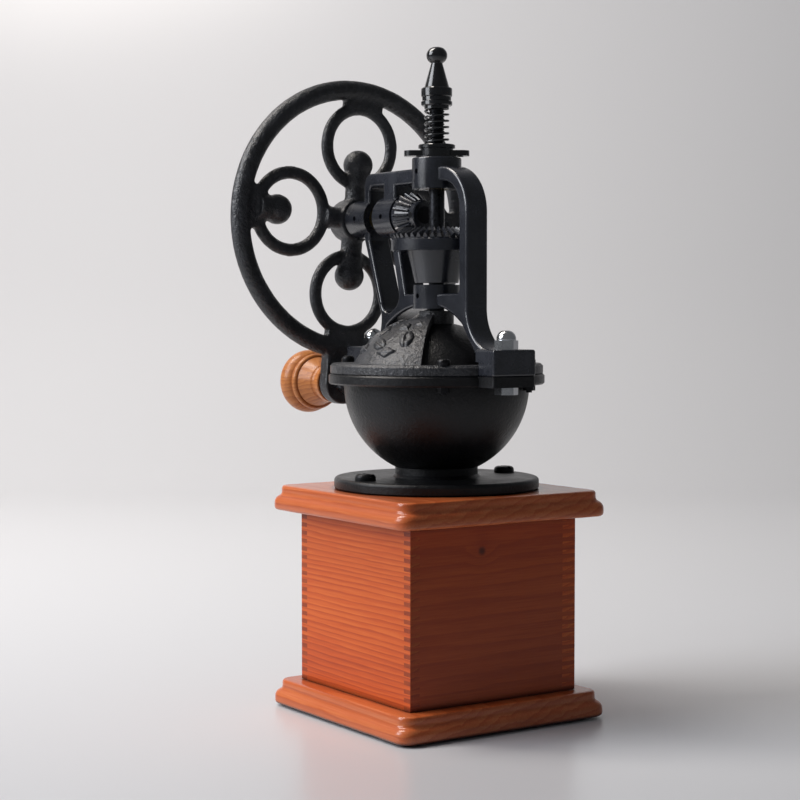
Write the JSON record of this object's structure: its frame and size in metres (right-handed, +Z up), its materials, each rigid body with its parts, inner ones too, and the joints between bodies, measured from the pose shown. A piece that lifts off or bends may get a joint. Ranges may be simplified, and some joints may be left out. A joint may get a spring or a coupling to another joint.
{
  "type": "hand crank coffee grinder",
  "caption": "Hand crank coffee grinder: box-jointed wooden base with a grounds drawer, cast iron bowl with a domed lid, arched frame, bevel gears and a scrolled flywheel with a wooden knob.",
  "frame": {"origin": "on the grinding spindle's axis, at the underside of the felt that the grinder stands on", "axes": "+Z up along the spindle, +X along the crank shaft towards the flywheel, -Y the front with the drawer"},
  "size_m": [0.1873, 0.1504, 0.3368],
  "materials": {
    "black_screw": "black oxide, slotted",
    "bronze": "oil-impregnated bearing bronze",
    "burr_steel": "hardened, ground",
    "cast_black": "sand cast, matte black paint",
    "cast_satin": "cast, satin charcoal paint",
    "chrome": "polished",
    "felt": "dense felt, glued on",
    "gloss_black": "gloss black enamel",
    "steel": "turned",
    "wood_base": "red-orange stained and lacquered softwood",
    "wood_knob": "turned and lacquered hardwood",
    "wood_raw": "planed, unstained"
  },
  "bodies": {
    "grinder_base": {"base_felt": "felt", "base_screws": "steel", "base_plate": "wood_base", "flange_screws": "black_screw", "top_plate": "wood_base", "left_panel": "wood_base", "right_panel": "wood_base", "back_panel": "wood_base", "front_panel": "wood_base", "drawer_guides": "wood_raw", "hopper": "cast_black", "burr_set_screws": "steel", "outer_burr": "burr_steel", "dome_cover": "cast_black", "door_retaining_ring": "steel", "cover_screws": "black_screw", "cover_nuts": "steel", "arch_frame": "cast_satin", "upper_bush": "bronze", "lower_bush": "bronze", "inner_crank_bush": "bronze", "outer_crank_bush": "bronze", "foot_bolts": "chrome", "acorn_nuts": "chrome"},
    "drawer": {"drawer_front": "wood_base", "drawer_left_side": "wood_raw", "drawer_right_side": "wood_raw", "drawer_back": "wood_raw", "drawer_bottom": "wood_raw", "drawer_knob": "wood_knob", "drawer_knob_screw": "steel"},
    "filler_door": {"filler_door": "cast_satin", "door_knob": "gloss_black"},
    "crank": {"crank_shaft": "steel", "pinion": "cast_satin", "pinion_pin": "steel", "crank_thrust_washer": "steel", "flywheel_washer": "steel", "flywheel_nut": "chrome", "flywheel": "cast_black", "handle_bolt": "steel", "handle_collar": "steel", "handle_nut": "steel"},
    "handle_knob": {"handle_knob": "wood_knob"},
    "spindle_washer": {"thrust_washer": "gloss_black"},
    "grinding_spindle": {"spindle": "steel", "bevel_gear": "cast_satin", "gear_set_screw": "steel", "inner_burr": "burr_steel", "burr_washer": "steel", "burr_nut": "steel", "finial": "gloss_black"},
    "grind_adjuster": {"adjusting_nut": "gloss_black", "spring": "gloss_black"}
  },
  "joints": [
    {"name": "drawer_slide", "type": "slide", "parent": "grinder_base", "child": "drawer", "axis": [0, -1, 0], "range_m": [0, 0.07]},
    {"name": "door_turn", "type": "hinge", "parent": "grinder_base", "child": "filler_door", "pos_m": [0, 0, 0.19], "axis": [0, 0, 1], "range_deg": [-95, 0]},
    {"name": "crank_spin", "type": "hinge", "parent": "grinder_base", "child": "crank", "pos_m": [0.0783, 0, 0.2532], "axis": [1, 0, 0], "continuous": true},
    {"name": "handle_spin", "type": "hinge", "parent": "crank", "child": "handle_knob", "pos_m": [0.1, 0.00843, 0.1656], "axis": [1, 0, 0], "continuous": true},
    {"name": "spindle_spin", "type": "hinge", "parent": "grinder_base", "child": "spindle_washer", "pos_m": [0, 0, 0.2818], "axis": [0, 0, 1], "continuous": true},
    {"name": "grind_lift", "type": "slide", "parent": "spindle_washer", "child": "grinding_spindle", "axis": [0, 0, 1], "range_m": [-0.0008, 0], "deforming": ["spring"]},
    {"name": "adjuster_turn", "type": "hinge", "parent": "spindle_washer", "child": "grind_adjuster", "pos_m": [0, 0, 0.285], "axis": [0, 0, 1], "range_deg": [0, 230.4]}
  ],
  "couplings": [
    {"joint": "spindle_spin", "follows": "crank_spin", "ratio": 0.5},
    {"joint": "adjuster_turn", "follows": "grind_lift", "rad_per_m": -5026.5}
  ]
}
